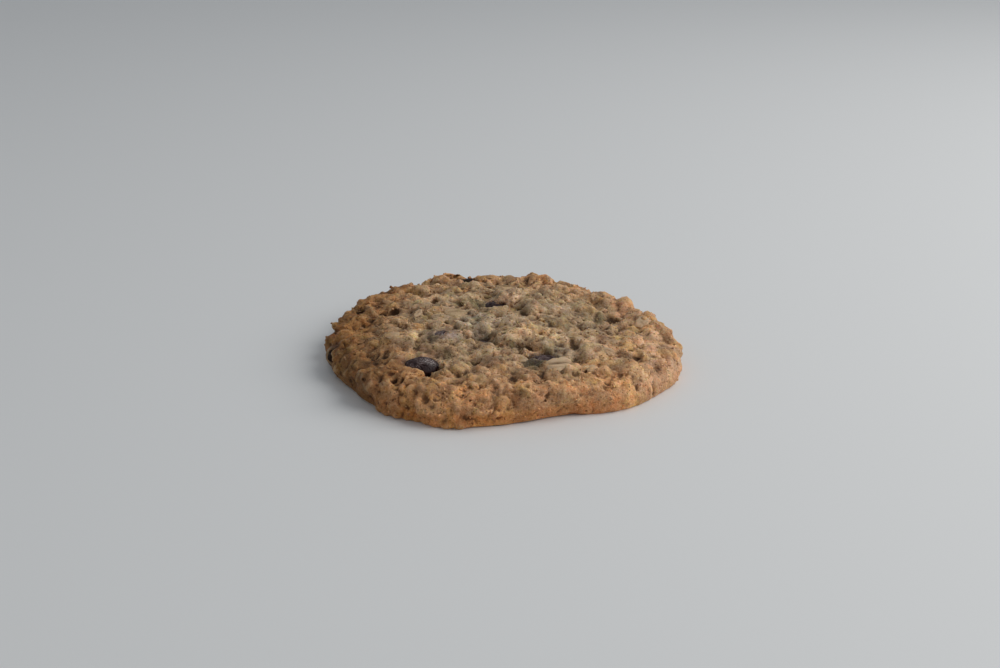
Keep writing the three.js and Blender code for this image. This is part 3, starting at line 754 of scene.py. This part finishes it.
# Middle, length, width, turn, lean to the front and to the side, how deep its crease is and how pale it is.
FLAKES = (
    (17.6, -34.6, 7.4, 4.8, 2, 34, -4, 1.0, 0.95), (46.2, -0.2, 5.0, 4.0, 35, 34, 0, 0.15, 0.72),
    (-14.5, 6.6, 7.4, 6.0, 10, 6, 0, 0.6, 0.4), (-19.0, 1.2, 6.2, 4.8, -18, 10, 0, 0.5, 0.3),
    (23.0, -13.6, 3.6, 2.6, 20, 16, 0, 0.2, 0.55), (6.9, -28.6, 3.4, 2.6, -10, 20, 0, 0.1, 0.55),
    (28.0, -33.2, 3.6, 2.8, 40, 22, 0, 0.1, 0.5), (54.0, 0.8, 5.0, 4.2, 80, 10, 35, 0.1, 0.2),
    (-33.0, -17.0, 4.6, 3.4, 25, 12, 0, 0.3, 0.6), (33.5, -24.5, 4.4, 3.2, -35, 18, 0, 0.4, 0.6),
    (22.0, 14.0, 5.0, 3.6, 30, 16, 0, 0.4, 0.6),
)
FLAKE_THICKNESS = 0.12  # of its length
FLAKE_RAISED = 0.3  # of its thickness, over what it lies on
LOOSE_FLAKES = {"Density": 4000.0, "Length": 5.6 * MM, "Thickness": 1.0, "Sink": 0.2 * MM, "Tilt": 0.35,
                "Clear": 2.4 * MM, "Lowest": 8.5 * MM, "Patchy": 0.6, "Wall": 0.0, "Seed": 79}


def flake(form, place, length, width, thickness, shape, groove, tone, detail):
    """A rolled oat: an uneven, slightly cupped oval with a crease along its upper face."""
    layers = {label: form.verts.layers.float.get(label) or form.verts.layers.float.new(label)
              for label in ("tint", "crease", "along", "across")}
    start = len(form.verts)
    bmesh.ops.create_icosphere(form, subdivisions=detail, radius=1.0)
    form.verts.ensure_lookup_table()
    for vertex in form.verts[start:]:
        x, y, z = vertex.co
        turn = math.atan2(y, x)
        edge = 1 + 0.08 * math.sin(2 * turn + shape) + 0.08 * math.sin(3 * turn + 2.3 * shape)
        edge += 0.05 * math.sin(7 * turn + 3.1 * shape) + 0.03 * math.sin(11 * turn + shape)
        crease = groove * math.exp(-(y / 0.13) ** 2) * (1 - 0.7 * x * x) if z > 0 else 0.0
        level = math.copysign(abs(z) ** 0.6, z) / 2 - 0.65 * crease - 0.25 * x * x - 0.3 * y * y
        level += 0.05 * math.sin(11 * y + 4 * x + shape)
        vertex[layers["tint"]] = tone
        vertex[layers["crease"]] = crease
        vertex[layers["along"]] = x * length / 2 + 9 * shape
        vertex[layers["across"]] = y * width / 2
        vertex.co = place @ Vector((x * edge * length / 2, y * edge * width / 2, level * thickness))


def placed_flakes():
    surface = surface_of(dough)
    form = bmesh.new()
    for number, (x, y, length, width, turn, front, side, groove, tone) in enumerate(FLAKES):
        lean = Euler((math.radians(front), math.radians(side), 0)).to_matrix().to_4x4()
        spin = Matrix.Rotation(math.radians(turn), 4, "Z")
        thickness = FLAKE_THICKNESS * length
        rests = []
        for along, across in ((0, 0), (-0.35, 0), (0.35, 0), (0, -0.35), (0, 0.35)):
            under = lean @ spin @ Vector((along * length, across * width, 0))
            rests.append(height_at(surface, x + under.x, y + under.y) - under.z * MM)
        ground = sorted(rests)[-2]  # pressed a little into the highest point
        at = Matrix.Translation((x * MM, y * MM, ground + FLAKE_RAISED * thickness * MM))
        place = at @ lean @ spin @ Matrix.Scale(MM, 4)
        flake(form, place, length, width, thickness, shape=number * 1.7, groove=groove, tone=tone, detail=4)
    mesh = bpy.data.meshes.new("placed_flakes")
    form.to_mesh(mesh)
    form.free()
    return new_piece("placed_flakes", mesh)


def flake_form():
    form = bmesh.new()
    flake(form, Matrix(), length=1.0, width=0.9, thickness=0.16, shape=0.6, groove=0.6, tone=0.5, detail=3)
    mesh = bpy.data.meshes.new("flake_form")
    form.to_mesh(mesh)
    form.free()
    return new_piece("flake_form", mesh)


def finish_flakes():
    surface, tree, skin, baked = finish("rolled_oat", colours)

    def told(label):
        return add(tree, "ShaderNodeAttribute", attribute_name=label).outputs["Fac"]

    pale = mix(tree, told("tint"), (0.42, 0.28, 0.155), (0.77, 0.56, 0.36))
    place = add(tree, "ShaderNodeCombineXYZ", {
        "X": maths(tree, "MULTIPLY", told("along"), 0.5),
        "Y": maths(tree, "MULTIPLY", told("across"), 3.2)}).outputs[0]
    stripes = add(tree, "ShaderNodeTexNoise", {"Vector": place, "Scale": 1.0, "Detail": 3.0}).outputs[0]
    pale = mix(tree, ramp(tree, stripes, 0.35, 0.7, 0.0, 0.4), pale, (0.44, 0.30, 0.16))
    # Darker along the crease: painted shade in the groove.
    pale = mix(tree, maths(tree, "MULTIPLY", told("crease"), 0.9), pale, (0.12, 0.065, 0.028))
    in_mm = scaled(tree, add(tree, "ShaderNodeTexCoord").outputs["Object"], METRE)
    smear = add(tree, "ShaderNodeTexNoise", {"Vector": in_mm, "Scale": 0.5, "Detail": 3.0}).outputs[0]
    covered = maths(tree, "MULTIPLY", ramp(tree, smear, 0.42, 0.6, 0.15, 0.95),
                    ramp(tree, told("tint"), 0.62, 0.9, 1.0, 0.15))
    left = ramp(tree, add(tree, "ShaderNodeSeparateXYZ", {0: in_mm}).outputs["X"], -24.0, -42.0)
    colour = mix(tree, maths(tree, "MAXIMUM", covered, left), pale, baked["Colour"])
    tree.links.new(colour, skin.inputs["Base Color"])
    skin.inputs["Roughness"].default_value = 0.55
    skin.inputs["Specular IOR Level"].default_value = 0.4
    soften(skin, 0.25, (1.0, 0.6, 0.3))
    bump = add(tree, "ShaderNodeBump", {
        "Height": maths(tree, "ADD", stripes, smear), "Distance": 0.3 * MM, "Strength": 1.0})
    tree.links.new(bump.outputs[0], skin.inputs["Normal"])
    return surface


placed = placed_flakes()
flake_shape = flake_form()
loose = strewn(new_piece("loose_flakes", core.data.copy()), LOOSE_FLAKES, flake_shape)
flakes = join_meshes("oat_flakes", placed, loose)
for face in flakes.data.polygons:
    face.use_smooth = True
flakes.data.materials.clear()
flakes.data.materials.append(finish_flakes())
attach(flakes, "root")

# ---- Raisins -------------------------------------------------------------------------------
# Plump dark raisins with a soft, faintly glossy skin, drawn into fine wrinkles as they dried and
# swollen again in the oven. Each fills its own pocket in the dough.

RAISIN_COLOUR = (0.027, 0.012, 0.0125)
CLOUDED_COLOUR = (0.058, 0.025, 0.0235)
BLOOM_AND_HIGHLIGHT_COLOUR = (0.6, 0.54, 0.52)
FOLD_SHADE_COLOUR = (0.012, 0.006, 0.007)
RIM_RAISIN_COLOUR = (0.026, 0.014, 0.009)

# Where the front raisin is painted pale in a streak: bloom and a painted highlight.
BLOOM_AND_HIGHLIGHT_MIDDLE = (-21.4, -32.4, 12.0)
BLOOM_AND_HIGHLIGHT_REACH = (3.8, 1.9, 4.0)


def skin_tree():
    tree, given, made = shape_tree("wrinkled_skin", Swell=0.15 * MM, Wrinkle=0.22 * MM)
    fine = add(tree, "GeometryNodeSubdivisionSurface", {"Mesh": given["Geometry"], "Level": 3}).outputs[0]
    position = add(tree, "GeometryNodeInputPosition").outputs[0]
    normal = add(tree, "GeometryNodeInputNormal").outputs[0]
    in_mm = scaled(tree, position, METRE)
    folds = add(tree, "ShaderNodeTexNoise",
                {"Vector": in_mm, "Scale": 0.3, "Detail": 2.0, "Distortion": 0.8}).outputs[0]
    ridge = maths(tree, "ABSOLUTE", maths(tree, "SUBTRACT", maths(tree, "MULTIPLY", folds, 2.0), 1.0))
    fold = ramp(tree, ridge, 0.16, 0.0)
    grown = maths(tree, "SUBTRACT", given["Swell"], maths(tree, "MULTIPLY", fold, given["Wrinkle"]))
    skin = add(tree, "GeometryNodeSetPosition",
               {"Geometry": fine, "Offset": scaled(tree, normal, grown)}).outputs[0]
    upward = add(tree, "ShaderNodeSeparateXYZ", {0: normal}).outputs["Z"]
    for label, value in (("fold", fold), ("upward", upward)):
        skin = add(tree, "GeometryNodeStoreNamedAttribute", {"Geometry": skin, "Name": label, "Value": value},
                   data_type="FLOAT", domain="POINT").outputs[0]
    skin = add(tree, "GeometryNodeSetShadeSmooth", {"Geometry": skin, "Shade Smooth": True}).outputs[0]
    tree.links.new(skin, made[0])
    return tree


def finish_raisin():
    surface = bpy.data.materials.new("raisin_skin")
    surface.use_nodes = True
    tree = surface.node_tree
    skin = tree.nodes["Principled BSDF"]
    in_mm = scaled(tree, add(tree, "ShaderNodeTexCoord").outputs["Object"], METRE)
    fold = add(tree, "ShaderNodeAttribute", attribute_name="fold").outputs["Fac"]
    upward = add(tree, "ShaderNodeAttribute", attribute_name="upward").outputs["Fac"]
    cloud = add(tree, "ShaderNodeTexNoise", {"Vector": in_mm, "Scale": 0.35, "Detail": 2.0}).outputs[0]
    specks = add(tree, "ShaderNodeTexNoise",
                 {"Vector": in_mm, "Scale": 2.6, "Detail": 3.0, "Roughness": 0.7}).outputs[0]
    colour = mix(tree, ramp(tree, cloud, 0.35, 0.65), RAISIN_COLOUR, CLOUDED_COLOUR)
    # Tops paled with specks, most of all in a streak on the front raisin: pale bloom and painted highlight
    # where the light falls.
    bloom_and_highlight = maths(tree, "MULTIPLY", ramp(tree, cloud, 0.42, 0.62, 0.0, 0.4), ramp(tree, upward, 0.35, 0.9))
    bloom_and_highlight_streak = vectors(tree, "SUBTRACT", in_mm, BLOOM_AND_HIGHLIGHT_MIDDLE)
    bloom_and_highlight_streak = vectors(tree, "MULTIPLY", bloom_and_highlight_streak, tuple(1 / half for half in BLOOM_AND_HIGHLIGHT_REACH))
    bloom_and_highlight_streak = add(tree, "ShaderNodeVectorMath", {0: bloom_and_highlight_streak}, operation="LENGTH").outputs["Value"]
    bloom_and_highlight = maths(tree, "MAXIMUM", bloom_and_highlight, ramp(tree, bloom_and_highlight_streak, 1.0, 0.4))
    bloom_and_highlight = maths(tree, "MULTIPLY", bloom_and_highlight, ramp(tree, specks, 0.5, 0.6, 0.05, 0.9))
    colour = mix(tree, bloom_and_highlight, colour, BLOOM_AND_HIGHLIGHT_COLOUR)
    # The folds are darkened: painted shade in the wrinkles.
    colour = mix(tree, maths(tree, "MULTIPLY", fold, 0.4), colour, FOLD_SHADE_COLOUR)
    place = add(tree, "ShaderNodeSeparateXYZ", {0: in_mm})
    at_rim = maths(tree, "MAXIMUM", ramp(tree, place.outputs["X"], -44.0, -48.0),
                   ramp(tree, place.outputs["Y"], 36.0, 40.0))
    colour = mix(tree, at_rim, colour, RIM_RAISIN_COLOUR)
    tree.links.new(colour, skin.inputs["Base Color"])
    tree.links.new(ramp(tree, specks, 0.3, 0.7, 0.36, 0.62), skin.inputs["Roughness"])
    tree.links.new(ramp(tree, at_rim, 0.0, 1.0, 0.24, 0.06), skin.inputs["Specular IOR Level"])
    bump = add(tree, "ShaderNodeBump", {"Height": specks, "Distance": 0.08 * MM, "Strength": 1.0})
    tree.links.new(bump.outputs[0], skin.inputs["Normal"])
    return surface


raisin_skin = finish_raisin()
wrinkles = skin_tree()
for node in RAISINS:
    raisin = merged_copy(node + "_skin", node)
    grow(raisin, wrinkles)
    settle(raisin)
    raisin.data.materials.append(raisin_skin)
    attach(raisin, "root")
    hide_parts(node)

for helper in (placed, flake_shape, loose, core, raisin_forms, ball, crumb,
               heaps, oats, clumps, nodules, grains, covers):
    bpy.data.objects.remove(helper)

# ---- Floor and light -----------------------------------------------------------------------
# A plain pale table, one broad window to the right of it and the dim, cool light of the room.

TABLE_COLOUR = (0.77, 0.78, 0.785, 1)
WINDOW_PLACE = (0.80, 0.0, 0.66)
WINDOW_WATTS = 7.35
ROOM_COLOUR = (0.92, 0.96, 1.0, 1)
ROOM_STRENGTH = 0.34

floor_form = bmesh.new()
bmesh.ops.create_grid(floor_form, x_segments=1, y_segments=1, size=2.0)
floor_mesh = bpy.data.meshes.new("floor")
floor_form.to_mesh(floor_mesh)
floor_form.free()
floor = new_piece("floor", floor_mesh)
floor_finish = bpy.data.materials.new("floor")
floor_finish.use_nodes = True
floor_skin = floor_finish.node_tree.nodes["Principled BSDF"]
floor_skin.inputs["Base Color"].default_value = TABLE_COLOUR
floor_skin.inputs["Roughness"].default_value = 0.5
floor.data.materials.append(floor_finish)


def soft_light(name, place, size, power, colour):
    lamp = bpy.data.lights.new(name, "AREA")
    lamp.shape = "DISK"
    lamp.size = size
    lamp.energy = power
    lamp.color = colour
    light = bpy.data.objects.new(name, lamp)
    light.location = place
    light.rotation_euler = (-Vector(place)).to_track_quat("-Z", "Y").to_euler()
    bpy.context.scene.collection.objects.link(light)


soft_light("window", WINDOW_PLACE, size=1.0, power=WINDOW_WATTS, colour=(1.0, 0.985, 0.96))
world = bpy.data.worlds.new("room")
world.use_nodes = True
background = world.node_tree.nodes["Background"]
background.inputs["Color"].default_value = ROOM_COLOUR
background.inputs["Strength"].default_value = ROOM_STRENGTH
bpy.context.scene.world = world
bpy.context.scene.view_settings.view_transform = "Standard"
